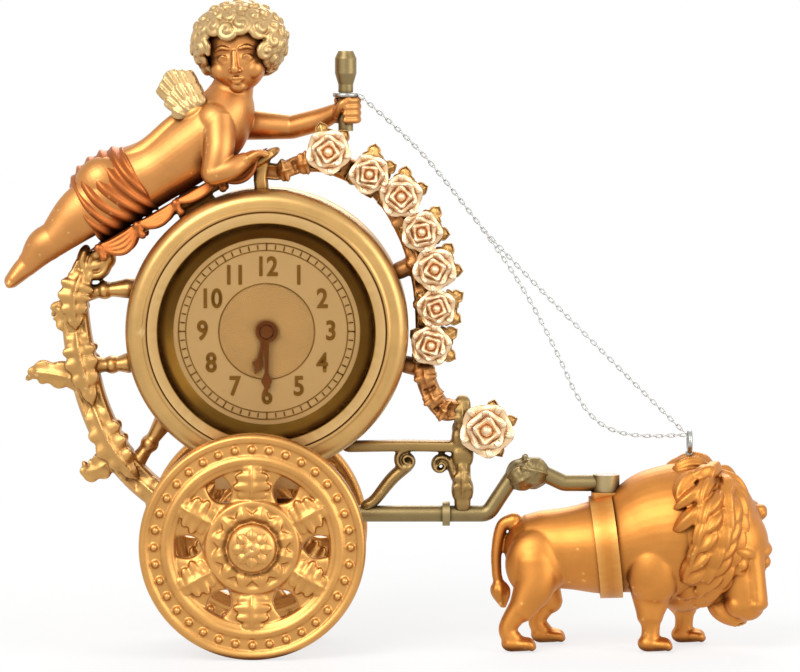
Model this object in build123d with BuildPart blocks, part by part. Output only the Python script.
from build123d import *
from math import acos, atan2, cos, degrees, hypot, pi, radians, sin, sqrt, tan
import os

# Figural chariot clock in gilt metal. A winged child lies on a scroll chariot that carries a round
# spring-driven clock, and drives a lion that is harnessed to the chariot's pole.
# Millimetres. +Z is up, +X runs from the chariot to the lion and -Y faces the viewer. The origin is on
# the surface that the clock stands on, under the middle of the object.

# Fits
RUN_CLEARANCE = 0.05    # radial play of a piece that turns on a pin or in a hole
FIT_GAP = 0.02          # radial play of a fixed pin, screw or square in its hole
SEAT_GAP = 0.05         # between two castings that are screwed together
END_SHAKE = 0.15        # axial play of a turning piece

# Wheels and axle
AXLE_X = -37.0
WHEEL_RADIUS = 30.2
WHEEL_TRACK = 48.0
RIM_DEPTH = 9.9
RIM_WIDTH = 6.0
RIM_BEVEL = 1.2
HUB_RADIUS = 13.0
HUB_LENGTH = 9.0
SPOKE_COUNT = 6
SPOKE_WIDTH = 8.4
SPOKE_THICKNESS = 3.6
AXLE_RADIUS = 2.0
AXLE_NUT_RADIUS = 3.4
AXLE_NUT_HEIGHT = 1.6
HUB_CAP_RADIUS = 6.4
HUB_CAP_WALL = 1.0
SLEEVE_RADIUS = 3.4

# Clock case
CLOCK_RISE = 56.3       # dial centre above the axle
CLOCK_AHEAD = 3.5       # dial centre ahead of the axle
RING_OUTER = 38.0
RING_BORE = 30.5
RING_DEPTH = 26.0
RING_ROUND = 4.5
DIAL_SIGHT = 25.0
DIAL_RECESS = 3.2       # dial face behind the ring's front
DIAL_THICKNESS = 0.8
BEZEL_FLANGE = 1.3
BEZEL_SPIGOT = 2.0      # wall of the bezel where it enters the ring
BEZEL_HEIGHT = 1.4
CRYSTAL_RADIUS = 29.1
CRYSTAL_THICKNESS = 1.0
CRYSTAL_RISE = 2.0
CRYSTAL_LEDGE = 0.5
CAN_WALL = 1.2
CAN_LEDGE = 1.6
COVER_THICKNESS = 1.2
COVER_SCREW_CIRCLE = 34.2
COVER_MARGIN = 2.0

# Movement plates
MOTION_GAP = 3.0        # dial back to front plate
PLATE_THICKNESS = 1.2
PLATE_SPACING = 9.8
BACK_PLATE_RADIUS = 24.0
PILLAR_CIRCLE = 21.5
PILLAR_RADIUS = 1.5
PILLAR_ANGLES = (35, 145, 215, 325)
RIVET_RADIUS = 0.8
DIAL_FOOT_CIRCLE = 20.0
DIAL_FOOT_RADIUS = 0.6
ARBOR_RADIUS = 0.7
PIVOT_RADIUS = 0.4
HAND_ARBOR_RADIUS = 1.0

# Gear teeth, with heights in modules and widths in shares of the pitch
ADDENDUM = 0.8
DEDENDUM = 1.2
TOOTH_ROOT = 0.25
TOOTH_TIP = 0.11
GREAT_TEETH, CENTRE_LEAVES, GREAT_MODULE = 60, 10, 0.40
CENTRE_TEETH, THIRD_LEAVES, CENTRE_MODULE = 64, 8, 0.30
THIRD_TEETH, FOURTH_LEAVES, THIRD_MODULE = 60, 8, 0.28
FOURTH_TEETH, ESCAPE_LEAVES, FOURTH_MODULE = 60, 8, 0.25
CANNON_LEAVES, MINUTE_TEETH, MOTION_MODULE = 10, 30, 0.40
MINUTE_LEAVES, HOUR_TEETH = 8, 32
TRAIN_THICKNESS = 0.8
PINION_LENGTH = 1.5

# Depth of each wheel behind the front plate
GREAT_LEVEL = 0.5
THIRD_LEVEL = 3.6
FOURTH_LEVEL = 6.0
CENTRE_LEVEL = 8.4
ESCAPE_LEVEL = 2.9
LEVER_LEVEL = 1.8

# Barrel and winding
BARREL_RADIUS = 10.6
BARREL_WALL = 0.7
BARREL_HEIGHT = 7.0
BARREL_COVER = 0.6
BARREL_ARBOR_RADIUS = 1.5
SPRING_CORE_RADIUS = 2.5
MAINSPRING_THICKNESS = 0.3
MAINSPRING_TURNS = 6
WINDING_SQUARE = 2.1
RATCHET_TEETH = 18
RATCHET_RADIUS = 5.5
RATCHET_TOOTH = 0.8
CLICK_DISTANCE = 8.6
KEY_HUB_RADIUS = 2.8
KEY_HUB_LENGTH = 5.5
KEY_SPAN = 20.0
KEY_BOW = 8.0
KEY_THICKNESS = 1.6
KNOB_RADIUS = 4.2
KNOB_HEIGHT = 4.0
KNOB_RIBS = 24
KNOB_CLOSED = 0.6

# Escapement and balance
ESCAPE_TEETH = 15
ESCAPE_RADIUS = 4.0
ESCAPE_TOOTH = 1.0
ESCAPE_THICKNESS = 0.6
PALLET_DISTANCE = 6.0
PALLET_PIN_CIRCLE = 4.9
PALLET_PIN_RADIUS = 0.3
LEVER_THICKNESS = 0.6
LEVER_WIDTH = 1.3
BALANCE_DISTANCE = 7.5
BALANCE_RADIUS = 7.0
BALANCE_RIM = 1.0
BALANCE_THICKNESS = 0.9
BALANCE_GAP = 1.2       # back plate to balance rim
STAFF_RADIUS = 0.5
ROLLER_RADIUS = 1.5
COCK_GAP = 1.5          # balance rim to cock
COCK_THICKNESS = 1.2
COCK_FOOT = 5.0
COCK_REACH = 9.6
HAIRSPRING_OUTER = 4.2
HAIRSPRING_INNER = 1.2
HAIRSPRING_TURNS = 5
HAIRSPRING_THICKNESS = 0.15
REGULATOR_ARM = 9.0
REGULATOR_RADIUS = 2.5
REGULATOR_THICKNESS = 0.5
REGULATOR_SWING = 18.0

# Hands
HOUR_HAND_LENGTH = 12.0
MINUTE_HAND_LENGTH = 17.5
HAND_THICKNESS = 0.4
HAND_GAP = 0.7
HOUR_BEARING = 195.0    # degrees clockwise from the twelve
MINUTE_BEARING = 180.0

# Scroll frame
SEAT_ANGLE = 30.0
SEAT_RISE = 4.0         # seat top above the ring's rim
SEAT_THICKNESS = 2.9
SEAT_WIDTH = 13.0
SEAT_BACK = -29.0
SEAT_FRONT = 24.0
SEAT_POST = 3.6
SCROLL_WIDTH = 9.0
SCROLL_BAND = 8.0       # rear scroll seen from the front, at its broadest
LEAF_BAND = 6.0
LINK_BAND = 4.8
BRANCH_WIDTH = 8.0
BRANCH_BAND = 6.5
BRACKET_WIDTH = 6.0
BAR_WIDTH = 3.0
VOLUTE_RADIUS = 3.4
POST_WIDTH = 4.8
ROSE_RADIUS = 5.4
PROW_ROSE_RADIUS = 6.5
ROSE_THICKNESS = 5.0
ROSE_PETALS = 5
CARRIAGE_WIDTH = 18.0
CARRIAGE_HUB = 7.0
CARRIAGE_NECK = 12.0
CARRIAGE_FLANGE = 28.0
FLANGE_THICKNESS = 4.5

# Pole, girth and reins
POLE_RISE = 6.2         # pole above the axle
POLE_RADIUS = 2.2
POLE_COLLAR = 3.3
SOCKET_LENGTH = 6.0
SOCKET_RADIUS = 4.2
NECK_AHEAD = 6.9        # foot of the swan neck ahead of the prow's post
NECK_HEIGHT = 11.4
PAD_X = 58.0
PAD_LENGTH = 8.0
GIRTH_WIDTH = 6.0
GIRTH_THICKNESS = 1.2
EYE_RADIUS = 3.6
REIN_DIAMETER = 1.3
REIN_SPREAD = 3.0
RING_WIRE = 0.7

# Lion
GIRTH_FROM_HIP = 18.0
LION_HIP_HEIGHT = 25.5
LION_HIP_RADIUS = 11.2
LION_BODY_LENGTH = 34.0
LION_SHOULDER_HEIGHT = 29.5
LION_SHOULDER_RADIUS = 14.5
LION_STANCE = 9.0
LEG_RADIUS = 3.6
PAW_LENGTH = 4.5
MANE_RADIUS = 20.0
MANE_HEIGHT = 31.5
MANE_AHEAD = 42.0
HEAD_HEIGHT = 19.0
HEAD_RADIUS = 10.5
HEAD_AHEAD = 52.0
TERRET_AHEAD = 40.5
TERRET_RADIUS = 2.6

# Child
BODY_RADIUS = 10.8
BODY_LENGTH = 31.0
CHEST_AT = 14.0         # along the seat from its middle
CHILD_HEAD_RADIUS = 12.0
CHILD_HEAD_AT = 31.3
CHILD_HEAD_RISE = 27.1
LEG_REACH = 35.6        # hips to toes
THIGH_RADIUS = 8.2
KNEE_RADIUS = 5.5
ANKLE_RADIUS = 3.4
JOINT_TAPER = 0.97      # share of a joint where the next limb starts
ARM_RADIUS = 5.2
ELBOW_RADIUS = 3.6
WRIST_RADIUS = 2.9
WING_HEIGHT = 14.5
WING_BREADTH = 9.0
WING_THICKNESS = 2.2
WING_SPREAD = 12.0
HANDLE_X = -12.4
HANDLE_RADIUS = 2.0
HANDLE_LENGTH = 21.5
FIST_RADIUS = 3.6

# Screws: head radius, head height, shank radius, length
FRAME_SCREW = (2.0, 1.0, 1.0, 11.4)
CHILD_SCREW = (1.8, 0.9, 0.9, 9.0)
POLE_SCREW = (2.2, 1.2, 1.2, 9.0)
COVER_SCREW = (1.6, 0.8, 0.8, 6.0)
COCK_SCREW = (1.5, 0.7, 0.7, 5.4)

# Places that follow from the sizes above
AXLE_Z = WHEEL_RADIUS
CLOCK_X = AXLE_X + CLOCK_AHEAD
CLOCK_Z = AXLE_Z + CLOCK_RISE
CLOCK = (CLOCK_X, CLOCK_Z)
AXLE = (AXLE_X, AXLE_Z)
RING_FRONT = -RING_DEPTH / 2
RING_BACK = RING_DEPTH / 2
DIAL_FRONT = RING_FRONT + DIAL_RECESS
DIAL_BACK = DIAL_FRONT + DIAL_THICKNESS
FRONT_PLATE_FRONT = DIAL_BACK + MOTION_GAP
FRONT_PLATE_BACK = FRONT_PLATE_FRONT + PLATE_THICKNESS
BACK_PLATE_FRONT = FRONT_PLATE_BACK + PLATE_SPACING
BACK_PLATE_BACK = BACK_PLATE_FRONT + PLATE_THICKNESS
CAN_OUTER = RING_BORE - 2 * SEAT_GAP
CAN_INNER = CAN_OUTER - CAN_WALL
CAN_BACK = RING_BACK - 2.0
COVER_BACK = RING_BACK + COVER_THICKNESS
COVER_RADIUS = COVER_SCREW_CIRCLE + COVER_MARGIN
POLE_Z = AXLE_Z + POLE_RISE
LION_HIP_X = PAD_X - GIRTH_FROM_HIP


def polar(centre, distance, angle):
    """Point at a distance and an angle in degrees from a point of the upright plane."""
    return (centre[0] + distance * cos(radians(angle)), centre[1] + distance * sin(radians(angle)))


def mesh_distance(wheel_teeth, leaves, module):
    """Distance between the arbors of two wheels in mesh."""
    return module * (wheel_teeth + leaves) / 2


def mesh_phase(angle, phase, teeth, other_teeth):
    """Phase that sets another wheel's gap against this wheel's tooth, across the line at angle."""
    share = (phase - radians(angle)) * teeth / (2 * pi)
    return radians(angle) + pi + (0.5 - share) * 2 * pi / other_teeth


BARREL_AXIS = polar(CLOCK, mesh_distance(GREAT_TEETH, CENTRE_LEAVES, GREAT_MODULE), -90)
THIRD_AXIS = polar(CLOCK, mesh_distance(CENTRE_TEETH, THIRD_LEAVES, CENTRE_MODULE), 60)
FOURTH_AXIS = polar(THIRD_AXIS, mesh_distance(THIRD_TEETH, FOURTH_LEAVES, THIRD_MODULE), 170)
ESCAPE_AXIS = polar(FOURTH_AXIS, mesh_distance(FOURTH_TEETH, ESCAPE_LEAVES, FOURTH_MODULE), 200)
PALLET_AXIS = polar(ESCAPE_AXIS, PALLET_DISTANCE, 250)
BALANCE_AXIS = polar(PALLET_AXIS, BALANCE_DISTANCE, 262)
MINUTE_AXIS = polar(CLOCK, mesh_distance(CANNON_LEAVES, MINUTE_TEETH, MOTION_MODULE), 0)
COCK_FOOT_POINT = polar(BALANCE_AXIS, COCK_REACH, -70)
CLICK_PIVOT = polar(BARREL_AXIS, CLICK_DISTANCE, 40)
PIVOTS = (THIRD_AXIS, FOURTH_AXIS, ESCAPE_AXIS, PALLET_AXIS)
BALANCE_FRONT = BACK_PLATE_BACK + BALANCE_GAP
BALANCE_BACK = BALANCE_FRONT + BALANCE_THICKNESS
COCK_FRONT = BALANCE_BACK + COCK_GAP
COCK_BACK = COCK_FRONT + COCK_THICKNESS
RATCHET_FRONT = BACK_PLATE_BACK + 0.3
RATCHET_BACK = RATCHET_FRONT + TRAIN_THICKNESS


def upright(centre, depth):
    """Upright plane that faces the viewer, with its origin at a point of the front view."""
    return Plane(origin=(centre[0], depth, centre[1]), x_dir=(1, 0, 0), z_dir=(0, -1, 0))


def disc(centre, radius, front, back, mode=Mode.ADD):
    """Round disc or hole about a front-to-back axis."""
    with BuildSketch(upright(centre, back)) as face:
        Circle(radius)
    extrude(face.sketch, amount=back - front, mode=mode)


def hole(centre, radius, front, back):
    """Round hole about a front-to-back axis."""
    disc(centre, radius, front, back, Mode.SUBTRACT)


def turned(centre, profile, mode=Mode.ADD):
    """Turned shape about a front-to-back axis. The profile's points are radius and depth."""
    x, z = centre
    with BuildSketch(Plane(origin=(x, 0, z), x_dir=(1, 0, 0), z_dir=(0, 0, 1))) as section:
        with BuildLine():
            Polyline(*profile, close=True)
        make_face()
    revolve(section.sketch, axis=Axis((x, 0, z), (0, 1, 0)), mode=mode)


def plate(points, front, back, mode=Mode.ADD):
    """Flat plate with a straight-sided outline of points in the front view."""
    with BuildSketch(upright((0, 0), back)) as face:
        with BuildLine():
            Polyline(*points, close=True)
        make_face()
    extrude(face.sketch, amount=back - front, mode=mode)


def toothed_disc(centre, teeth, module, phase, front, back):
    """Wheel or pinion with straight-flanked teeth. A tooth stands at the phase angle."""
    pitch = 2 * pi / teeth
    root = module * (teeth / 2 - DEDENDUM)
    tip = module * (teeth / 2 + ADDENDUM)
    corners = ((root, -TOOTH_ROOT), (tip, -TOOTH_TIP), (tip, TOOTH_TIP), (root, TOOTH_ROOT))
    points = []
    for tooth in range(teeth):
        for radius, share in corners:
            angle = phase + (tooth + share) * pitch
            points.append((centre[0] + radius * cos(angle), centre[1] + radius * sin(angle)))
    plate(points, front, back)


def saw_disc(centre, teeth, radius, tooth, front, back):
    """Wheel with pointed, one-way teeth."""
    pitch = 360 / teeth
    corners = ((radius - tooth, 0.0), (radius, 0.72), (radius, 0.82))
    points = [polar(centre, r, (k + share) * pitch) for k in range(teeth) for r, share in corners]
    plate(points, front, back)


def crossings(centre, count, distance, radius, front, back):
    """Round windows that lighten a wheel."""
    for k in range(count):
        hole(polar(centre, distance, 90 + k * 360 / count), radius, front, back)


def arbor(centre):
    """Arbor between the plates, with a pivot at each end."""
    disc(centre, PIVOT_RADIUS, FRONT_PLATE_FRONT, BACK_PLATE_BACK)
    disc(centre, ARBOR_RADIUS, FRONT_PLATE_BACK + END_SHAKE, BACK_PLATE_FRONT - END_SHAKE)


def band_outline(points, widths):
    """Both edges of a band that follows points, with a width at each of them."""
    left, right = [], []
    for k, (x, z) in enumerate(points):
        before = points[max(k - 1, 0)]
        after = points[min(k + 1, len(points) - 1)]
        run = hypot(after[0] - before[0], after[1] - before[1])
        across = (-(after[1] - before[1]) / run, (after[0] - before[0]) / run)
        left.append((x + across[0] * widths[k] / 2, z + across[1] * widths[k] / 2))
        right.append((x - across[0] * widths[k] / 2, z - across[1] * widths[k] / 2))
    return left, right


def band(points, widths):
    """Smooth scroll band in the sketch being drawn."""
    left, right = band_outline(points, widths)
    with BuildLine() as outline:
        if len(points) > 2:
            Spline(*left)
            Spline(*right)
        else:
            Line(*left)
            Line(*right)
        Line(left[0], right[0])
        Line(left[-1], right[-1])
    make_face(outline.edges())


def limb(start, end, start_radius, end_radius, mode=Mode.ADD):
    """Round limb that tapers between two ball ends."""
    start = Vector(*start)
    along = Vector(*end) - start
    sine = (start_radius - end_radius) / along.length
    lean = acos(sine)
    side = along.cross(Vector(0, 0, 1) if abs(along.normalized().Z) < 0.9 else Vector(1, 0, 0))

    def on_arc(middle, radius, angle):
        return (middle + radius * cos(angle), radius * sin(angle))

    with BuildSketch(Plane(origin=start, x_dir=along, z_dir=side)) as section:
        with BuildLine():
            first = on_arc(0, start_radius, lean)
            last = on_arc(along.length, end_radius, lean)
            ThreePointArc((-start_radius, 0), on_arc(0, start_radius, (lean + pi) / 2), first)
            Line(first, last)
            ThreePointArc(last, on_arc(along.length, end_radius, lean / 2), (along.length + end_radius, 0))
            Line((along.length + end_radius, 0), (-start_radius, 0))
        make_face()
    revolve(section.sketch, axis=Axis(start, along), mode=mode)


def ball(centre, radius):
    """Ball at a point."""
    with Locations(centre):
        Sphere(radius)


def screw(head, direction, size, gap=0.0, mode=Mode.ADD):
    """Countersunk screw, or its hole with a gap, from the middle of the head's outer face."""
    head_radius, head_height, shank_radius, length = size
    direction = Vector(*direction)
    side = direction.cross(Vector(0, 0, 1) if abs(direction.Z) < 0.9 else Vector(0, 1, 0))
    profile = (
        (-gap, 0),
        (-gap, head_radius + gap),
        (head_height, shank_radius + gap),
        (length + gap, shank_radius + gap),
        (length + gap, 0),
    )
    with BuildSketch(Plane(origin=head, x_dir=direction, z_dir=side)) as section:
        with BuildLine():
            Polyline(*profile, close=True)
        make_face()
    revolve(section.sketch, axis=Axis(head, direction), mode=mode)


def save(piece, name):
    """Label a finished piece and write it under its own name."""
    piece.part.label = name
    export_step(piece.part, f"parts/{name}.step")


os.makedirs("parts", exist_ok=True)

# Case ring: a wide band with a rounded front, bored for the movement
frame_screw_angles = (90 + SEAT_ANGLE, 194.5, 24, 270)


def frame_screws_at(gap=0.0, mode=Mode.ADD):
    """Screws that hold the castings, from the bore of the ring outwards."""
    for angle in frame_screw_angles:
        outward = (cos(radians(angle)), 0, sin(radians(angle)))
        x, z = polar(CLOCK, RING_BORE, angle)
        screw((x, 0, z), outward, FRAME_SCREW, gap, mode)


def cover_screws_at(gap=0.0, mode=Mode.ADD):
    """Screws that hold the back cover on the ring."""
    for angle in (90, 210, 330):
        x, z = polar(CLOCK, COVER_SCREW_CIRCLE, angle)
        screw((x, COVER_BACK, z), (0, -1, 0), COVER_SCREW, gap, mode)


def ring_room(mode=Mode.SUBTRACT):
    """Room for the ring's rim in a casting that seats on it."""
    disc(CLOCK, RING_OUTER + SEAT_GAP, RING_FRONT, RING_BACK, mode)


with BuildPart() as case_ring:
    with BuildSketch(Plane(origin=(CLOCK_X, 0, CLOCK_Z), x_dir=(1, 0, 0), z_dir=(0, 0, 1))):
        with BuildLine():
            crown = RING_OUTER - RING_ROUND
            bend = RING_ROUND * (1 - sqrt(0.5))
            Polyline(
                (crown, RING_FRONT),
                (RING_BORE, RING_FRONT),
                (RING_BORE, RING_BACK),
                (RING_OUTER, RING_BACK),
                (RING_OUTER, RING_FRONT + RING_ROUND),
            )
            ThreePointArc(
                (RING_OUTER, RING_FRONT + RING_ROUND),
                (RING_OUTER - bend, RING_FRONT + bend),
                (crown, RING_FRONT),
            )
        make_face()
    revolve(axis=Axis((CLOCK_X, 0, CLOCK_Z), (0, 1, 0)))
    frame_screws_at(FIT_GAP, Mode.SUBTRACT)
    cover_screws_at(FIT_GAP, Mode.SUBTRACT)
save(case_ring, "case_ring")

with BuildPart() as frame_screws:
    frame_screws_at()
save(frame_screws, "frame_screws")

with BuildPart() as cover_screws:
    cover_screws_at()
save(cover_screws, "cover_screws")

# Seat scroll: the sloping seat, the rear C-scroll with its leaf tips and the links to the ring
seat_along = Vector(cos(radians(SEAT_ANGLE)), 0, sin(radians(SEAT_ANGLE)))
seat_up = Vector(-sin(radians(SEAT_ANGLE)), 0, cos(radians(SEAT_ANGLE)))
seat_middle = Vector(CLOCK_X, 0, CLOCK_Z) + seat_up * (RING_OUTER + SEAT_RISE)


def on_seat(along, side, rise):
    """Point measured along the seat from its middle, to the far side and up from its top."""
    return seat_middle + seat_along * along + seat_up * rise + Vector(0, side, 0)


def child_screws_at(gap=0.0, mode=Mode.ADD):
    """Screws through the seat into the child's body."""
    for along in (8.0, -12.0):
        screw(on_seat(along, 0, -SEAT_THICKNESS), tuple(seat_up), CHILD_SCREW, gap, mode)


def beside_ring(*offsets):
    """Points of the front view given from the middle of the dial, in shares of the ring's radius."""
    return [(CLOCK_X + x * RING_OUTER, CLOCK_Z + z * RING_OUTER) for x, z in offsets]


carriage_left = AXLE_X - CARRIAGE_NECK / 2
scroll_foot = AXLE_Z + 6.0
rear_line = beside_ring((-1.3026, 0.4342), (-1.3632, 0.2368), (-1.3553, 0), (-1.3158, -0.2368))
rear_line += beside_ring((-1.2368, -0.5395), (-1.1053, -0.8289))
rear_line += beside_ring((-0.9211, -1.0658), (-0.6842, -1.2421))
rear_line += [(carriage_left - 6.0, scroll_foot), (carriage_left - SEAT_GAP, scroll_foot)]
rear_shares = (0.81, 0.88, 0.94, 1, 1, 1, 0.94, 0.88, 0.81, 0.81)
leaf_tips = (
    beside_ring((-1.3158, -0.0526), (-1.4079, 0.0789), (-1.4947, 0.1711)),
    beside_ring((-1.2632, -0.3816), (-1.4605, -0.3158), (-1.7105, -0.3053)),
    beside_ring((-1.0526, -0.8947), (-1.1974, -0.9737), (-1.3026, -0.9947)),
)
ring_links = (
    beside_ring((-1.3421, 0.25), (-0.9211, 0.2895)),
    beside_ring((-1.2895, -0.2579), (-0.9211, -0.2368)),
    beside_ring((-0.9737, -1), (-0.7105, -0.6053)),
)

seat_nose = on_seat(SEAT_FRONT - 2.5, 0, -SEAT_THICKNESS / 2)
post_front = seat_nose.X + SEAT_POST / 2

with BuildPart() as seat_scroll:
    seat_length = SEAT_FRONT - SEAT_BACK
    seat_core = on_seat((SEAT_FRONT + SEAT_BACK) / 2, 0, -SEAT_THICKNESS / 2)
    with BuildSketch(Plane.XZ):
        with Locations((seat_core.X, seat_core.Z)):
            Rectangle(seat_length, SEAT_THICKNESS, rotation=SEAT_ANGLE)
    extrude(amount=SEAT_WIDTH / 2, both=True)
    with BuildSketch(Plane.XZ):
        boss = on_seat(0, 0, -SEAT_THICKNESS)
        with Locations((boss.X, boss.Z)):
            Rectangle(10, SEAT_RISE, rotation=SEAT_ANGLE)
        band(rear_line, [SCROLL_BAND * share for share in rear_shares])
        for tip in leaf_tips:
            band(tip, (LEAF_BAND, LEAF_BAND * 0.75, LEAF_BAND * 0.2))
        for link in ring_links:
            band(link, (LINK_BAND, LINK_BAND))
        rear_end = on_seat(SEAT_BACK, 0, -SEAT_THICKNESS / 2)
        rear_joint = (rear_end.X + 4, rear_end.Z + 1.2)
        band((rear_joint, rear_line[0]), (SCROLL_BAND / 2, SCROLL_BAND * rear_shares[0]))
        post_top = (seat_nose.X, seat_nose.Z)
        band((post_top, (seat_nose.X, CLOCK_Z + RING_OUTER - 2)), (SEAT_POST, SEAT_POST))
    extrude(amount=SCROLL_WIDTH / 2, both=True)
    ring_room()
    hole(AXLE, CARRIAGE_HUB + SEAT_GAP, -SCROLL_WIDTH, SCROLL_WIDTH)
    child_screws_at(FIT_GAP, Mode.SUBTRACT)
    frame_screws_at(FIT_GAP, Mode.SUBTRACT)
save(seat_scroll, "seat_scroll")

with BuildPart() as child_screws:
    child_screws_at()
save(child_screws, "child_screws")

# Garland: a branch that follows the ring and turns out to the prow, with roses on its front
prow_centre = beside_ring((1.5526, -0.7105))[0]
post_x = prow_centre[0] - 6.4
post_left = post_x - POST_WIDTH / 2
branch_foot = prow_centre[1] + 5.2
neck_foot = post_x + NECK_AHEAD
branch_head = CLOCK_Z + 1.1211 * RING_OUTER
branch_line = [(post_front + SEAT_GAP, branch_head), (post_front + 3.5, branch_head)]
branch_line += beside_ring((0.2632, 1.1789), (0.4737, 1.1711), (0.8026, 1), (1, 0.6974), (1.1, 0.3553))
branch_line += beside_ring((1.1211, 0.0132), (1.1105, -0.2763), (1.1684, -0.4684))
branch_line += [(post_left - 2.6, branch_foot), (post_left - SEAT_GAP, branch_foot)]
branch_shares = (0.68, 0.68, 0.77, 0.92, 1, 1, 0.92, 0.85, 0.85, 0.85, 0.85, 0.85)
branch_links = (
    beside_ring((0.8684, 0.3868), (1.0789, 0.4816)),
    beside_ring((0.9211, -0.2368), (1.1053, -0.2842)),
)
roses = (
    (beside_ring((0.4342, 1.2632))[0], 1),
    (beside_ring((0.7237, 1.1053))[0], 0.926),
    (beside_ring((0.9474, 0.9474))[0], 0.963),
    (beside_ring((1.0921, 0.6974))[0], 0.981),
    (beside_ring((1.1842, 0.4342))[0], 0.963),
    (beside_ring((1.1974, 0.1579))[0], 0.926),
    (beside_ring((1.1579, -0.1053))[0], 0.889),
)

with BuildPart() as garland_branch:
    with BuildSketch(Plane.XZ):
        band(branch_line, [BRANCH_BAND * share for share in branch_shares])
        for link in branch_links:
            band(link, (LINK_BAND, LINK_BAND))
    extrude(amount=BRANCH_WIDTH / 2, both=True)
    ring_room()
    frame_screws_at(FIT_GAP, Mode.SUBTRACT)
save(garland_branch, "garland_branch")


def rose(centre, radius, back):
    """Open rose: a ring of petals round a raised heart."""
    petal = radius * 0.48
    with BuildSketch(upright(centre, back)) as face:
        with PolarLocations(radius - petal, ROSE_PETALS):
            Circle(petal)
        Circle(radius * 0.62)
    extrude(face.sketch, amount=ROSE_THICKNESS * 0.6)
    heart = radius * 0.5
    turned(centre, (
        (0, back),
        (heart, back),
        (heart, back - ROSE_THICKNESS * 0.8),
        (heart * 0.6, back - ROSE_THICKNESS),
        (0, back - ROSE_THICKNESS),
    ))


with BuildPart() as garland_roses:
    for centre, share in roses:
        rose(centre, ROSE_RADIUS * share, -BRANCH_WIDTH / 2)
    rose(prow_centre, PROW_ROSE_RADIUS, -BRACKET_WIDTH / 2)
save(garland_roses, "garland_roses")

# Prow bracket: a bar from the ring, a post on the pole, a volute and a strut
bar_z = prow_centre[1] - 4.8
volute = (CLOCK_X + RING_OUTER - 0.5, bar_z - 3.8)


def across_pole(x):
    """Plane across the pole at a place along it."""
    return Plane(origin=(x, 0, POLE_Z), x_dir=(0, 1, 0), z_dir=(1, 0, 0))


def pole_room(mode=Mode.SUBTRACT):
    """Room for the straight part of the pole."""
    with BuildSketch(across_pole(carriage_left)) as face:
        Circle(POLE_RADIUS + SEAT_GAP)
    extrude(face.sketch, amount=neck_foot - carriage_left, mode=mode)


with BuildPart() as prow_bracket:
    with BuildSketch(Plane.XZ):
        with Locations(prow_centre):
            Circle(PROW_ROSE_RADIUS - 1.5)
        band(((post_x, branch_foot + 2.0), (post_x, POLE_Z)), (POST_WIDTH, POST_WIDTH))
        band(((post_x, prow_centre[1]), prow_centre), (6.0, 6.0))
        band(((CLOCK_X + RING_OUTER / 2, bar_z), (post_x, bar_z)), (BAR_WIDTH, BAR_WIDTH))
        with Locations(volute):
            Circle(VOLUTE_RADIUS)
        strut = (volute, (volute[0] - 4.0, volute[1] - 5.0), (volute[0] - 10.5, POLE_Z))
        band(strut, (VOLUTE_RADIUS + 0.2, VOLUTE_RADIUS, VOLUTE_RADIUS - 0.2))
    extrude(amount=BRACKET_WIDTH / 2, both=True)
    ring_room()
    pole_room()
save(prow_bracket, "prow_bracket")

# Carriage: a pedestal that carries the ring on the axle and holds the end of the pole
carriage_right = AXLE_X + CARRIAGE_NECK / 2
socket_end = carriage_right + SOCKET_LENGTH
flange_low = CLOCK_Z - RING_OUTER - FLANGE_THICKNESS

with BuildPart() as axle_carriage:
    with BuildSketch(Plane.XZ):
        with Locations(AXLE):
            Circle(CARRIAGE_HUB)
        band((AXLE, (AXLE_X, flange_low + 2)), (CARRIAGE_NECK, CARRIAGE_NECK))
        band(((CLOCK_X, flange_low), (CLOCK_X, flange_low + 10)), (CARRIAGE_FLANGE, CARRIAGE_FLANGE))
    extrude(amount=CARRIAGE_WIDTH / 2, both=True)
    with BuildSketch(across_pole(AXLE_X)):
        Circle(SOCKET_RADIUS)
    extrude(amount=socket_end - AXLE_X)
    ring_room()
    hole(AXLE, AXLE_RADIUS + FIT_GAP, -CARRIAGE_WIDTH, CARRIAGE_WIDTH)
    with BuildSketch(across_pole(carriage_right)):
        Circle(POLE_RADIUS + SEAT_GAP)
    extrude(amount=2 * SOCKET_LENGTH, mode=Mode.SUBTRACT)
    frame_screws_at(FIT_GAP, Mode.SUBTRACT)
save(axle_carriage, "axle_carriage")

# Axle, its sleeves and nuts, and the two wheels with their hub caps
hub_inner = WHEEL_TRACK / 2 - HUB_LENGTH / 2
hub_outer = WHEEL_TRACK / 2 + HUB_LENGTH / 2
nut_inner = hub_outer + END_SHAKE
nut_outer = nut_inner + AXLE_NUT_HEIGHT
cap_top = nut_outer + END_SHAKE + HUB_CAP_WALL

with BuildPart() as axle:
    disc(AXLE, AXLE_RADIUS, -nut_outer, nut_outer)
save(axle, "axle")

with BuildPart() as axle_sleeves:
    for side in (-1, 1):
        ends = sorted((side * (CARRIAGE_WIDTH / 2), side * (hub_inner - END_SHAKE)))
        disc(AXLE, SLEEVE_RADIUS, *ends)
    hole(AXLE, AXLE_RADIUS + FIT_GAP, -hub_inner, hub_inner)
save(axle_sleeves, "axle_sleeves")

with BuildPart() as axle_nuts:
    for side in (-1, 1):
        ends = sorted((side * nut_inner, side * nut_outer))
        plate([polar(AXLE, AXLE_NUT_RADIUS, 60 * k) for k in range(6)], *ends)
    hole(AXLE, AXLE_RADIUS + FIT_GAP, -cap_top, cap_top)
save(axle_nuts, "axle_nuts")

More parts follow.
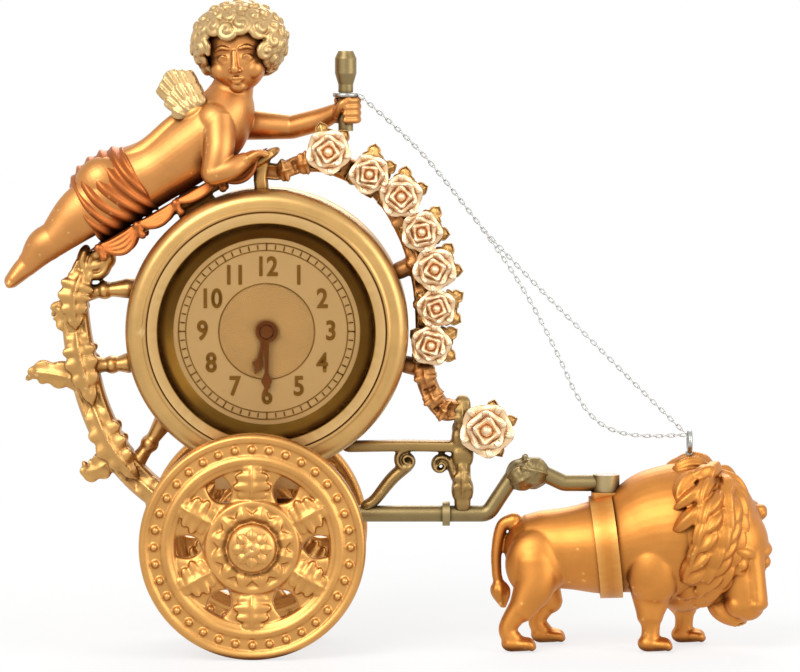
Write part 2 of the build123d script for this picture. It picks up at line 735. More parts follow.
rim_inner = WHEEL_RADIUS - RIM_DEPTH
for name, side in (("near", -1), ("far", 1)):
    middle = side * WHEEL_TRACK / 2
    with BuildPart() as wheel:
        edge = RIM_WIDTH / 2
        turned(AXLE, (
            (rim_inner, middle - edge + RIM_BEVEL),
            (rim_inner + RIM_BEVEL, middle - edge),
            (WHEEL_RADIUS - RIM_BEVEL, middle - edge),
            (WHEEL_RADIUS, middle - edge + RIM_BEVEL),
            (WHEEL_RADIUS, middle + edge - RIM_BEVEL),
            (WHEEL_RADIUS - RIM_BEVEL, middle + edge),
            (rim_inner + RIM_BEVEL, middle + edge),
            (rim_inner, middle + edge - RIM_BEVEL),
        ))
        with BuildSketch(upright(AXLE, middle)):
            for spoke in range(SPOKE_COUNT):
                with PolarLocations(rim_inner / 2, 1, 90 + spoke * 360 / SPOKE_COUNT):
                    Rectangle(rim_inner + RIM_BEVEL, SPOKE_WIDTH)
        extrude(amount=SPOKE_THICKNESS / 2, both=True)
        disc(AXLE, HUB_RADIUS, middle - HUB_LENGTH / 2 + 2, middle + HUB_LENGTH / 2 - 2)
        disc(AXLE, HUB_CAP_RADIUS, middle - HUB_LENGTH / 2, middle + HUB_LENGTH / 2)
        hole(AXLE, AXLE_RADIUS + RUN_CLEARANCE, middle - HUB_LENGTH, middle + HUB_LENGTH)
    save(wheel, f"{name}_wheel")
    with BuildPart() as hub_cap:
        inside = AXLE_NUT_RADIUS + 4 * RUN_CLEARANCE
        roof = cap_top - HUB_CAP_WALL
        turned(AXLE, (
            (inside, side * hub_outer),
            (HUB_CAP_RADIUS, side * hub_outer),
            (HUB_CAP_RADIUS, side * (hub_outer + HUB_CAP_WALL)),
            (HUB_CAP_RADIUS * 0.6, side * (cap_top - 0.2)),
            (0, side * cap_top),
            (0, side * roof),
            (inside, side * roof),
        ))
    save(hub_cap, f"{name}_hub_cap")

# Pole: a straight bar with collars, then a swan neck over the lion's rump to an eye on its girth pad
lion_hip = Vector(LION_HIP_X, 0, LION_HIP_HEIGHT)
lion_shoulder = Vector(LION_HIP_X + LION_BODY_LENGTH, 0, LION_SHOULDER_HEIGHT)
barrel_line = lion_shoulder - lion_hip
barrel_sine = (LION_HIP_RADIUS - LION_SHOULDER_RADIUS) / barrel_line.length
barrel_cosine = sqrt(1 - barrel_sine**2)


def barrel_radius(along):
    """Radius of the lion's trunk at a distance along it from the hip."""
    return (LION_HIP_RADIUS - along * barrel_sine) / barrel_cosine


pad_rise = GIRTH_FROM_HIP * barrel_line.Z / barrel_line.X + barrel_radius(GIRTH_FROM_HIP)
pad_top = lion_hip.Z + pad_rise + GIRTH_THICKNESS + 0.6
eye_z = pad_top + POLE_RADIUS + 2 * SEAT_GAP
eye_top = eye_z + POLE_RADIUS + 2 * SEAT_GAP
neck_top = POLE_Z + NECK_HEIGHT


def pole_screw_at(gap=0.0, mode=Mode.ADD):
    """Screw through the pole's eye and the girth pad into the lion's back."""
    screw((PAD_X, 0, eye_top), (0, 0, -1), POLE_SCREW, gap, mode)


with BuildPart() as draught_pole:
    with BuildLine(Plane.XZ) as pole_line:
        FilletPolyline(
            (carriage_right + SEAT_GAP, POLE_Z),
            (neck_foot, POLE_Z),
            (neck_foot + 7.5, neck_top),
            (neck_foot + 14.0, neck_top),
            (PAD_X - 11.5, eye_z),
            (PAD_X, eye_z),
            radius=3.2,
        )
    with BuildSketch(across_pole(carriage_right + SEAT_GAP)):
        Circle(POLE_RADIUS)
    sweep(path=pole_line.wires()[0])
    for collar_x in (socket_end + SEAT_GAP, post_left - 3.0):
        with BuildSketch(across_pole(collar_x)):
            Circle(POLE_COLLAR)
        extrude(amount=2.0)
    with BuildSketch(Plane.XY.offset(pad_top + SEAT_GAP)):
        with Locations((PAD_X, 0)):
            Circle(EYE_RADIUS)
    extrude(amount=eye_top - pad_top - SEAT_GAP)
    pole_screw_at(FIT_GAP, Mode.SUBTRACT)
save(draught_pole, "draught_pole")

with BuildPart() as pole_screw:
    pole_screw_at()
save(pole_screw, "pole_screw")

# Lion: trunk, mane, head and legs as one casting, walking with its head low
paw_height = 2.0


def lion_leg(hip, knee, ankle, side):
    """Leg of the lion from its thigh to a paw that stands flat."""
    stance = side * LION_STANCE
    knee_joint = (knee[0], stance, knee[1])
    limb((hip[0], 0.8 * stance, hip[1]), knee_joint, 2 * LEG_RADIUS, LEG_RADIUS)
    limb(knee_joint, (ankle, stance, paw_height + 1), LEG_RADIUS, LEG_RADIUS - 0.6)
    paw_end = (ankle + PAW_LENGTH, stance, paw_height - 0.2)
    limb((ankle, stance, paw_height), paw_end, LEG_RADIUS - 0.5, LEG_RADIUS - 1.0)


terret_x = LION_HIP_X + TERRET_AHEAD
mane = Vector(LION_HIP_X + MANE_AHEAD, 0, MANE_HEIGHT)
mane_top = MANE_HEIGHT + sqrt(MANE_RADIUS**2 - (mane.X - terret_x) ** 2)
stud_low = mane_top - 3.0
stud_radius = 1.1
lion_head = Vector(LION_HIP_X + HEAD_AHEAD, 0, HEAD_HEIGHT)
hip_x = LION_HIP_X
fore_x = LION_HIP_X + LION_BODY_LENGTH

with BuildPart() as lion_figure:
    limb(lion_hip, lion_shoulder, LION_HIP_RADIUS, LION_SHOULDER_RADIUS)
    limb(lion_shoulder, mane, LION_SHOULDER_RADIUS, MANE_RADIUS)
    limb(mane + Vector(4, 0, -4), lion_head, MANE_RADIUS * 0.8, HEAD_RADIUS)
    brow = lion_head + Vector(0.5, 0, -3)
    nose = lion_head + Vector(4.5, 0, -9.2)
    limb(brow, nose, HEAD_RADIUS * 0.76, HEAD_RADIUS * 0.6)
    lion_leg((hip_x - 1.5, 23), (hip_x - 5, 11.5), hip_x - 7.2, -1)
    lion_leg((hip_x, 23), (hip_x + 3, 11.5), hip_x + 1.3, 1)
    lion_leg((fore_x - 4, 20), (fore_x - 4.5, 10), fore_x - 4.5, -1)
    lion_leg((fore_x + 3, 20), (fore_x + 5.8, 10), fore_x + 5.6, 1)
    for side in (-1, 1):
        ball((lion_head.X - 2.5, side * 9.5, lion_head.Z + 9.5), 3.2)
    limb((hip_x - 10, 0, 29), (hip_x - 11.6, 0, 20), 1.8, 1.5)
    limb((hip_x - 11.6, 0, 20), (hip_x - 10.2, 0, 14), 1.5, 2.6)
    split(bisect_by=Plane.XY, keep=Keep.TOP)
    pole_screw_at(FIT_GAP, Mode.SUBTRACT)
    with BuildSketch(Plane.XY.offset(stud_low)):
        with Locations((terret_x, 0)):
            Circle(stud_radius + FIT_GAP)
    extrude(amount=10, mode=Mode.SUBTRACT)
save(lion_figure, "lion_figure")

with BuildPart() as lion_girth:
    girth_start = GIRTH_FROM_HIP - GIRTH_WIDTH / 2
    girth_end = GIRTH_FROM_HIP + GIRTH_WIDTH / 2
    with BuildSketch(Plane(origin=lion_hip, x_dir=barrel_line, z_dir=(0, -1, 0))):
        with BuildLine():
            Polyline(
                (girth_start, barrel_radius(girth_start) + SEAT_GAP),
                (girth_end, barrel_radius(girth_end) + SEAT_GAP),
                (girth_end, barrel_radius(girth_end) + GIRTH_THICKNESS),
                (girth_start, barrel_radius(girth_start) + GIRTH_THICKNESS),
                close=True,
            )
        make_face()
    revolve(axis=Axis(lion_hip, barrel_line))
    with BuildSketch(Plane.XY.offset(pad_top)):
        with Locations((PAD_X, 0)):
            RectangleRounded(PAD_LENGTH, PAD_LENGTH, 1.5)
    extrude(amount=-5)
    trunk_radii = (LION_HIP_RADIUS + SEAT_GAP, LION_SHOULDER_RADIUS + SEAT_GAP)
    limb(lion_hip, lion_shoulder, *trunk_radii, Mode.SUBTRACT)
    pole_screw_at(FIT_GAP, Mode.SUBTRACT)
save(lion_girth, "lion_girth")

terret_z = mane_top + 1.2 + TERRET_RADIUS + RING_WIRE
with BuildPart() as terret_ring:
    with BuildSketch(Plane.XY.offset(stud_low)):
        with Locations((terret_x, 0)):
            Circle(stud_radius)
    extrude(amount=terret_z - TERRET_RADIUS - stud_low)
    with BuildSketch(Plane.XZ):
        with Locations((terret_x, terret_z + TERRET_RADIUS)):
            Circle(RING_WIRE)
    revolve(axis=Axis((terret_x, 0, terret_z), (1, 0, 0)))
save(terret_ring, "terret_ring")

# Child: lies prone on the seat, head turned to the viewer, one arm reaching forward with a whip handle
hips_at = CHEST_AT - BODY_LENGTH
body_rise = BODY_RADIUS + SEAT_GAP
chest = on_seat(CHEST_AT, 0, body_rise)
hips = on_seat(hips_at, 0, body_rise)
child_head = on_seat(CHILD_HEAD_AT, -1.0, CHILD_HEAD_RISE)
fist = Vector(HANDLE_X, 0, on_seat(CHILD_HEAD_AT, 0, 0).Z + 7.0)
elbow = on_seat(CHEST_AT + 18.8, 6.0, 1.8)
handle_low = fist.Z - FIST_RADIUS - 2.0


def handle_room(gap=0.0, mode=Mode.ADD):
    """Straight grip of the whip handle, or its hole through the fist."""
    with BuildSketch(Plane.XY.offset(handle_low)) as face:
        with Locations((HANDLE_X, 0)):
            Circle(HANDLE_RADIUS + gap)
    extrude(face.sketch, amount=HANDLE_LENGTH * 0.7, mode=mode)


with BuildPart() as child_figure:
    limb(chest, hips, BODY_RADIUS, BODY_RADIUS)
    limb(on_seat(CHEST_AT + 4, 0, body_rise + 3), child_head, BODY_RADIUS * 0.6, 6.0)
    ball(child_head, CHILD_HEAD_RADIUS)
    for side in (-1, 1):
        thigh = on_seat(hips_at - 0.11 * LEG_REACH, side * 0.65 * THIGH_RADIUS, body_rise * 0.94)
        knee = on_seat(hips_at - 0.55 * LEG_REACH, side * 0.61 * THIGH_RADIUS, 1.36 * KNEE_RADIUS)
        ankle = on_seat(hips_at - 0.845 * LEG_REACH, side * 0.56 * THIGH_RADIUS, 1.53 * ANKLE_RADIUS)
        toe = on_seat(hips_at - LEG_REACH, side * 0.56 * THIGH_RADIUS, 1.3 * ANKLE_RADIUS)
        limb(thigh, knee, THIGH_RADIUS, KNEE_RADIUS)
        limb(knee, ankle, KNEE_RADIUS * JOINT_TAPER, ANKLE_RADIUS)
        limb(ankle, toe, ANKLE_RADIUS * JOINT_TAPER, ANKLE_RADIUS * 0.68)
    limb(on_seat(CHEST_AT + 5, 0.6 * BODY_RADIUS, body_rise), elbow, ARM_RADIUS, ELBOW_RADIUS)
    limb(elbow, fist, ELBOW_RADIUS * JOINT_TAPER, WRIST_RADIUS)
    ball(fist, FIST_RADIUS)
    near_elbow = on_seat(CHEST_AT - 5, -BODY_RADIUS - 0.7, ELBOW_RADIUS / 3)
    near_hand = on_seat(CHEST_AT + 4.5, -BODY_RADIUS + 0.2, -WRIST_RADIUS / 5)
    near_shoulder = on_seat(CHEST_AT + 2, -0.74 * BODY_RADIUS, 0.88 * BODY_RADIUS)
    limb(near_shoulder, near_elbow, ARM_RADIUS, ELBOW_RADIUS)
    limb(near_elbow, near_hand, ELBOW_RADIUS * JOINT_TAPER, WRIST_RADIUS)
    handle_room(SEAT_GAP, Mode.SUBTRACT)
    child_screws_at(FIT_GAP, Mode.SUBTRACT)
save(child_figure, "child_figure")

wing_root = 1.57 * BODY_RADIUS
wing_steps = ((-1.0, 0), (-0.8, 0.345), (-1.2, 0.69), (-1.6, 1))
wing_line = [on_seat(CHEST_AT + back, 0, wing_root + rise * WING_HEIGHT) for back, rise in wing_steps]
wing_widths = [WING_BREADTH * share for share in (0.61, 1, 0.89, 0.22)]
with BuildPart() as child_wings:
    for side in (-1, 1):
        with BuildSketch(upright((0, 0), side * WING_SPREAD / 2 + WING_THICKNESS / 2)):
            band([(point.X, point.Z) for point in wing_line], wing_widths)
        extrude(amount=WING_THICKNESS)
    limb(chest, hips, BODY_RADIUS + SEAT_GAP, BODY_RADIUS + SEAT_GAP, Mode.SUBTRACT)
save(child_wings, "child_wings")

handle_top = handle_low + HANDLE_LENGTH
with BuildPart() as whip_handle:
    handle_room()
    with BuildSketch(Plane(origin=(HANDLE_X, 0, 0), x_dir=(1, 0, 0), z_dir=(0, -1, 0))):
        with BuildLine():
            Polyline(
                (0, handle_top - 9),
                (HANDLE_RADIUS, handle_top - 9),
                (HANDLE_RADIUS + 0.9, handle_top - 6),
                (HANDLE_RADIUS + 0.9, handle_top - 2),
                (HANDLE_RADIUS, handle_top),
                (0, handle_top),
                close=True,
            )
        make_face()
    revolve(axis=Axis((HANDLE_X, 0, 0), (0, 0, 1)))
save(whip_handle, "whip_handle")

rein_ring_radius = HANDLE_RADIUS + RING_WIRE + 3 * SEAT_GAP
rein_ring_z = fist.Z + sqrt(FIST_RADIUS**2 - HANDLE_RADIUS**2) + RING_WIRE + 8 * SEAT_GAP
with BuildPart() as rein_ring:
    with BuildSketch(Plane.XZ):
        with Locations((HANDLE_X + rein_ring_radius, rein_ring_z)):
            Circle(RING_WIRE)
    revolve(axis=Axis((HANDLE_X, 0, 0), (0, 0, 1)))
save(rein_ring, "rein_ring")

# Reins: two fine chains from the ring on the handle to the terret, one taut and one slack
rein_side = REIN_SPREAD / 2
rein_start = HANDLE_X + sqrt(rein_ring_radius**2 - rein_side**2) + RING_WIRE + 0.5
rein_end = terret_x - RING_WIRE - 0.3
rein_end_z = terret_z + sqrt(TERRET_RADIUS**2 - rein_side**2)
upper_points = ((4.6, 138.4), (17.2, 123.2), (29.2, 107.4))
near_points = upper_points + ((37.8, 93.6), (45.0, 79.5), (50.5, 66.8), (57.5, 59.4), (68.6, 57.2))
far_points = upper_points

for name, side, middle_points in (("near_rein", -1, near_points), ("far_rein", 1, far_points)):
    route = [(rein_start, rein_ring_z), *middle_points, (rein_end, rein_end_z)]
    corners = [Vector(x, side * rein_side, z) for x, z in route]
    radii = []
    for before, corner, after in zip(corners, corners[1:], corners[2:]):
        turn = (corner - before).get_angle(after - corner)
        shorter = min((corner - before).length, (after - corner).length)
        radii.append(0.45 * shorter / tan(radians(turn) / 2))
    with BuildPart() as rein:
        with BuildLine() as rein_line:
            FilletPolyline(*corners, radius=radii)
        with BuildSketch(Plane(origin=corners[0], z_dir=corners[1] - corners[0])):
            Circle(REIN_DIAMETER / 2)
        sweep(path=rein_line.wires()[0])
    save(rein, name)
    length = rein_line.wires()[0].length
    share = rein.part.volume / (pi * REIN_DIAMETER**2 / 4 * length)
    print(name, "length", round(length, 1), "volume share", round(share, 4))
    print(name, "radii", [round(radius, 1) for radius in radii])

# Dial, bezel and crystal
bezel_front = RING_FRONT - BEZEL_HEIGHT
crystal_seat = bezel_front + CRYSTAL_THICKNESS + 0.2
bezel_radius = max(RING_BORE, CRYSTAL_RADIUS) + BEZEL_FLANGE
dial_radius = CAN_OUTER - SEAT_GAP
hour_pipe_radius = 2.1

with BuildPart() as bezel:
    turned(CLOCK, (
        (DIAL_SIGHT, DIAL_FRONT),
        (CAN_OUTER - BEZEL_SPIGOT, RING_FRONT),
        (CRYSTAL_RADIUS - CRYSTAL_LEDGE, crystal_seat),
        (CRYSTAL_RADIUS + FIT_GAP, crystal_seat),
        (CRYSTAL_RADIUS + FIT_GAP, bezel_front),
        (bezel_radius, bezel_front),
        (bezel_radius, RING_FRONT),
        (CAN_OUTER, RING_FRONT),
        (CAN_OUTER, DIAL_FRONT),
    ))
save(bezel, "bezel")

with BuildPart() as crystal:
    bow = (CRYSTAL_RADIUS**2 + CRYSTAL_RISE**2) / (2 * CRYSTAL_RISE)
    half_rise = bow - sqrt(bow**2 - (CRYSTAL_RADIUS * 0.7) ** 2)
    with BuildSketch(Plane(origin=(CLOCK_X, 0, CLOCK_Z), x_dir=(1, 0, 0), z_dir=(0, 0, 1))):
        with BuildLine():
            inner = crystal_seat - CRYSTAL_RISE
            outer = inner - CRYSTAL_THICKNESS
            rim = crystal_seat - CRYSTAL_THICKNESS
            part_way = CRYSTAL_RADIUS * 0.7
            ThreePointArc((CRYSTAL_RADIUS, crystal_seat), (part_way, inner + half_rise), (0, inner))
            Line((0, inner), (0, outer))
            ThreePointArc((0, outer), (part_way, outer + half_rise), (CRYSTAL_RADIUS, rim))
            Line((CRYSTAL_RADIUS, rim), (CRYSTAL_RADIUS, crystal_seat))
        make_face()
    revolve(axis=Axis((CLOCK_X, 0, CLOCK_Z), (0, 1, 0)))
save(crystal, "crystal")

with BuildPart() as dial:
    disc(CLOCK, dial_radius, DIAL_FRONT, DIAL_BACK)
    for angle in (90, 210, 330):
        foot_point = polar(CLOCK, DIAL_FOOT_CIRCLE, angle)
        disc(foot_point, 2 * DIAL_FOOT_RADIUS, DIAL_BACK, FRONT_PLATE_FRONT)
        disc(foot_point, DIAL_FOOT_RADIUS, FRONT_PLATE_FRONT, FRONT_PLATE_BACK)
    hole(CLOCK, hour_pipe_radius + 4 * RUN_CLEARANCE, DIAL_FRONT, DIAL_BACK)
save(dial, "dial")

# Movement can and back cover
with BuildPart() as movement_can:
    turned(CLOCK, (
        (CAN_OUTER, DIAL_BACK),
        (CAN_OUTER, CAN_BACK),
        (CAN_INNER, CAN_BACK),
        (CAN_INNER, FRONT_PLATE_BACK + 1.2),
        (CAN_INNER - CAN_LEDGE, FRONT_PLATE_BACK + 1.2),
        (CAN_INNER - CAN_LEDGE, FRONT_PLATE_BACK),
        (CAN_INNER, FRONT_PLATE_BACK),
        (CAN_INNER, DIAL_BACK),
    ))
save(movement_can, "movement_can")

with BuildPart() as back_cover:
    disc(CLOCK, COVER_RADIUS, RING_BACK, COVER_BACK)
    turned(CLOCK, (
        (CAN_OUTER, CAN_BACK),
        (CAN_OUTER, RING_BACK),
        (CAN_INNER, RING_BACK),
        (CAN_INNER, CAN_BACK),
    ))
    hole(CLOCK, HAND_ARBOR_RADIUS + 0.6, RING_BACK, COVER_BACK)
    hole(BARREL_AXIS, KEY_HUB_RADIUS + 0.4, RING_BACK, COVER_BACK)
    with BuildSketch(upright(BALANCE_AXIS, COVER_BACK)):
        slot_angles = (90 - REGULATOR_SWING - 9, 90, 90 + REGULATOR_SWING + 9)
        inner_edge = [polar((0, 0), REGULATOR_ARM - 1.1, angle) for angle in slot_angles]
        outer_edge = [polar((0, 0), REGULATOR_ARM + 1.1, angle) for angle in slot_angles]
        with BuildLine():
            ThreePointArc(*inner_edge)
            ThreePointArc(*outer_edge)
            Line(inner_edge[0], outer_edge[0])
            Line(inner_edge[-1], outer_edge[-1])
        make_face()
    extrude(amount=COVER_THICKNESS, mode=Mode.SUBTRACT)
    cover_screws_at(FIT_GAP, Mode.SUBTRACT)
save(back_cover, "back_cover")


def cock_screw_at(gap=0.0, mode=Mode.ADD):
    """Screw through the foot of the balance cock into the back plate."""
    x, z = COCK_FOOT_POINT
    screw((x, COCK_BACK, z), (0, -1, 0), COCK_SCREW, gap, mode)


# Plates and pillars
with BuildPart() as front_plate:
    disc(CLOCK, CAN_INNER - SEAT_GAP, FRONT_PLATE_FRONT, FRONT_PLATE_BACK)
    disc(MINUTE_AXIS, 0.6, DIAL_BACK + 0.3, FRONT_PLATE_FRONT)
    hole(CLOCK, HAND_ARBOR_RADIUS + RUN_CLEARANCE, FRONT_PLATE_FRONT, FRONT_PLATE_BACK)
    hole(BARREL_AXIS, BARREL_ARBOR_RADIUS + RUN_CLEARANCE, FRONT_PLATE_FRONT, FRONT_PLATE_BACK)
    for pivot in PIVOTS + (BALANCE_AXIS,):
        hole(pivot, PIVOT_RADIUS + RUN_CLEARANCE, FRONT_PLATE_FRONT, FRONT_PLATE_BACK)
    for angle in PILLAR_ANGLES:
        spot = polar(CLOCK, PILLAR_CIRCLE, angle)
        hole(spot, RIVET_RADIUS + FIT_GAP, FRONT_PLATE_FRONT, FRONT_PLATE_BACK)
    for angle in (90, 210, 330):
        spot = polar(CLOCK, DIAL_FOOT_CIRCLE, angle)
        hole(spot, DIAL_FOOT_RADIUS + FIT_GAP, FRONT_PLATE_FRONT, FRONT_PLATE_BACK)
save(front_plate, "front_plate")

with BuildPart() as back_plate:
    disc(CLOCK, BACK_PLATE_RADIUS, BACK_PLATE_FRONT, BACK_PLATE_BACK)
    disc(CLICK_PIVOT, ARBOR_RADIUS, BACK_PLATE_BACK, RATCHET_BACK + 0.2)
    hole(CLOCK, HAND_ARBOR_RADIUS + RUN_CLEARANCE, BACK_PLATE_FRONT, BACK_PLATE_BACK)
    hole(BARREL_AXIS, BARREL_ARBOR_RADIUS + RUN_CLEARANCE, BACK_PLATE_FRONT, BACK_PLATE_BACK)
    hole(BALANCE_AXIS, 3 * STAFF_RADIUS, BACK_PLATE_FRONT, BACK_PLATE_BACK)
    for pivot in PIVOTS:
        hole(pivot, PIVOT_RADIUS + RUN_CLEARANCE, BACK_PLATE_FRONT, BACK_PLATE_BACK)
    for angle in PILLAR_ANGLES:
        spot = polar(CLOCK, PILLAR_CIRCLE, angle)
        hole(spot, RIVET_RADIUS + FIT_GAP, BACK_PLATE_FRONT, BACK_PLATE_BACK)
    cock_screw_at(FIT_GAP, Mode.SUBTRACT)
save(back_plate, "back_plate")

with BuildPart() as plate_pillars:
    for angle in PILLAR_ANGLES:
        spot = polar(CLOCK, PILLAR_CIRCLE, angle)
        disc(spot, PILLAR_RADIUS, FRONT_PLATE_BACK, BACK_PLATE_FRONT)
        disc(spot, RIVET_RADIUS, FRONT_PLATE_FRONT, BACK_PLATE_BACK)
save(plate_pillars, "plate_pillars")

# Going train: barrel with the great wheel, centre, third, fourth and escape wheels
great_phase = radians(90)
centre_pinion_phase = mesh_phase(90, great_phase, GREAT_TEETH, CENTRE_LEAVES)
centre_phase = radians(60)
third_pinion_phase = mesh_phase(60, centre_phase, CENTRE_TEETH, THIRD_LEAVES)
third_phase = radians(170)
fourth_pinion_phase = mesh_phase(170, third_phase, THIRD_TEETH, FOURTH_LEAVES)
fourth_phase = radians(200)
escape_pinion_phase = mesh_phase(200, fourth_phase, FOURTH_TEETH, ESCAPE_LEAVES)


def level(offset):
    """Depth of a level behind the front plate."""
    return FRONT_PLATE_BACK + offset


drum_front = level(GREAT_LEVEL)
drum_back = drum_front + BARREL_HEIGHT
cover_front = drum_back - BARREL_COVER
drum_inner = BARREL_RADIUS - BARREL_WALL
with BuildPart() as mainspring_barrel:
    great_back = drum_front + TRAIN_THICKNESS
    toothed_disc(BARREL_AXIS, GREAT_TEETH, GREAT_MODULE, great_phase, drum_front, great_back)
    disc(BARREL_AXIS, BARREL_RADIUS, drum_front, drum_back)
    hole(BARREL_AXIS, drum_inner, drum_front + TRAIN_THICKNESS, drum_back)
    hole(BARREL_AXIS, BARREL_ARBOR_RADIUS + RUN_CLEARANCE, drum_front, drum_back)
save(mainspring_barrel, "mainspring_barrel")

with BuildPart() as barrel_cover:
    disc(BARREL_AXIS, drum_inner - FIT_GAP, cover_front, drum_back)
    hole(BARREL_AXIS, BARREL_ARBOR_RADIUS + RUN_CLEARANCE, cover_front, drum_back)
save(barrel_cover, "barrel_cover")


def spiral_strip(centre, inner, outer, turns, thickness, front, back):
    """Flat spiral strip of half circles, each wider than the last by one step."""
    step = (outer - inner) / (2 * turns)
    with BuildSketch(upright(centre, back)) as face:
        with BuildLine():
            for edge in (-thickness / 2, thickness / 2):
                for half in range(2 * turns):
                    way = 1 if half % 2 == 0 else -1
                    middle = 0 if half % 2 == 0 else step
                    radius = inner + half * step + edge
                    reach = way * radius
                    ThreePointArc((middle + reach, 0), (middle, reach), (middle - reach, 0))
            Line((inner - thickness / 2, 0), (inner + thickness / 2, 0))
            end = inner + 2 * turns * step
            Line((end - thickness / 2, 0), (end + thickness / 2, 0))
        make_face()
    extrude(face.sketch, amount=back - front)


with BuildPart() as mainspring:
    spring_front = drum_front + TRAIN_THICKNESS + END_SHAKE
    spring_outer = drum_inner - MAINSPRING_THICKNESS
    spring_inner = SPRING_CORE_RADIUS + MAINSPRING_THICKNESS
    spiral_strip(BARREL_AXIS, spring_inner, spring_outer, MAINSPRING_TURNS, MAINSPRING_THICKNESS,
                 spring_front, cover_front - END_SHAKE)
save(mainspring, "mainspring")

key_front = COVER_BACK + 0.8
key_back = key_front + KEY_HUB_LENGTH
square_end = key_back - 0.8


def winding_square(gap, front, back, mode=Mode.ADD):
    """Square end of the barrel arbor, or its hole with a gap."""
    with BuildSketch(upright(BARREL_AXIS, back)) as face:
        Rectangle(WINDING_SQUARE + 2 * gap, WINDING_SQUARE + 2 * gap)
    extrude(face.sketch, amount=back - front, mode=mode)


with BuildPart() as barrel_arbor:
    disc(BARREL_AXIS, BARREL_ARBOR_RADIUS, FRONT_PLATE_FRONT, BACK_PLATE_BACK)
    disc(BARREL_AXIS, SPRING_CORE_RADIUS, spring_front, cover_front - END_SHAKE)
    winding_square(0, BACK_PLATE_BACK, square_end)
save(barrel_arbor, "barrel_arbor")

with BuildPart() as ratchet_wheel:
    saw_disc(BARREL_AXIS, RATCHET_TEETH, RATCHET_RADIUS, RATCHET_TOOTH, RATCHET_FRONT, RATCHET_BACK)
    winding_square(FIT_GAP, RATCHET_FRONT, RATCHET_BACK, Mode.SUBTRACT)
save(ratchet_wheel, "ratchet_wheel")

with BuildPart() as click:
    click_tip = polar(BARREL_AXIS, RATCHET_RADIUS + 0.8, 72)
    with BuildSketch(upright((0, 0), RATCHET_BACK)):
        band((CLICK_PIVOT, click_tip), (2.4, 0.8))
        with Locations(CLICK_PIVOT):
            Circle(2 * ARBOR_RADIUS)
    extrude(amount=TRAIN_THICKNESS)
    hole(CLICK_PIVOT, ARBOR_RADIUS + RUN_CLEARANCE, RATCHET_FRONT, RATCHET_BACK)
save(click, "click")

with BuildPart() as winding_key:
    disc(BARREL_AXIS, KEY_HUB_RADIUS, key_front, key_back)
    with BuildSketch(Plane.XY.offset(BARREL_AXIS[1])):
        bow_radius = KEY_SPAN / 4
        for side in (-1, 1):
            with Locations((BARREL_AXIS[0] + side * bow_radius, key_back + KEY_BOW / 2 - 0.6)):
                Ellipse(bow_radius, KEY_BOW / 2)
        with Locations((BARREL_AXIS[0], key_back + KEY_BOW / 4)):
            Rectangle(KEY_HUB_RADIUS, KEY_BOW / 2 + 1)
        for side in (-1, 1):
            with Locations((BARREL_AXIS[0] + side * (bow_radius + 0.3), key_back + KEY_BOW / 2 - 0.6)):
                Ellipse(bow_radius * 0.5, KEY_BOW * 0.24, mode=Mode.SUBTRACT)
    extrude(amount=KEY_THICKNESS / 2, both=True)
    winding_square(2 * FIT_GAP, key_front, square_end + FIT_GAP, Mode.SUBTRACT)
save(winding_key, "winding_key")

with BuildPart() as centre_wheel:
    pipe_radius = HAND_ARBOR_RADIUS + 0.5
    wheel_ends = (level(CENTRE_LEVEL), level(CENTRE_LEVEL) + TRAIN_THICKNESS)
    pinion_ends = (level(GREAT_LEVEL - 0.3), level(GREAT_LEVEL + 1.1))
    toothed_disc(CLOCK, CENTRE_TEETH, CENTRE_MODULE, centre_phase, *wheel_ends)
    crossings(CLOCK, 5, 5.6, 2.2, *wheel_ends)
    toothed_disc(CLOCK, CENTRE_LEAVES, GREAT_MODULE, centre_pinion_phase, *pinion_ends)
    disc(CLOCK, pipe_radius, level(END_SHAKE), BACK_PLATE_FRONT - END_SHAKE)
    hole(CLOCK, HAND_ARBOR_RADIUS + RUN_CLEARANCE, FRONT_PLATE_BACK, BACK_PLATE_FRONT)
save(centre_wheel, "centre_wheel")


def pinion_ends_at(wheel_level):
    """Front and back of a pinion that meshes with the wheel at a level."""
    front = level(wheel_level) - (PINION_LENGTH - TRAIN_THICKNESS) / 2
    return front, front + PINION_LENGTH


def train_wheel(centre, wheel, wheel_level, pinion, pinion_level, windows):
    """Wheel, pinion and arbor of one step of the train. Each toothed disc is teeth, module and phase."""
    arbor(centre)
    front = level(wheel_level)
    toothed_disc(centre, *wheel, front, front + TRAIN_THICKNESS)
    crossings(centre, 5, *windows, front, front + TRAIN_THICKNESS)
    toothed_disc(centre, *pinion, *pinion_ends_at(pinion_level))


with BuildPart() as third_wheel:
    wheel_teeth = (THIRD_TEETH, THIRD_MODULE, third_phase)
    pinion_teeth = (THIRD_LEAVES, CENTRE_MODULE, third_pinion_phase)
    train_wheel(THIRD_AXIS, wheel_teeth, THIRD_LEVEL, pinion_teeth, CENTRE_LEVEL, (4.7, 2.0))
save(third_wheel, "third_wheel")

with BuildPart() as fourth_wheel:
    wheel_teeth = (FOURTH_TEETH, FOURTH_MODULE, fourth_phase)
    pinion_teeth = (FOURTH_LEAVES, THIRD_MODULE, fourth_pinion_phase)
    train_wheel(FOURTH_AXIS, wheel_teeth, FOURTH_LEVEL, pinion_teeth, THIRD_LEVEL, (4.3, 1.7))
save(fourth_wheel, "fourth_wheel")

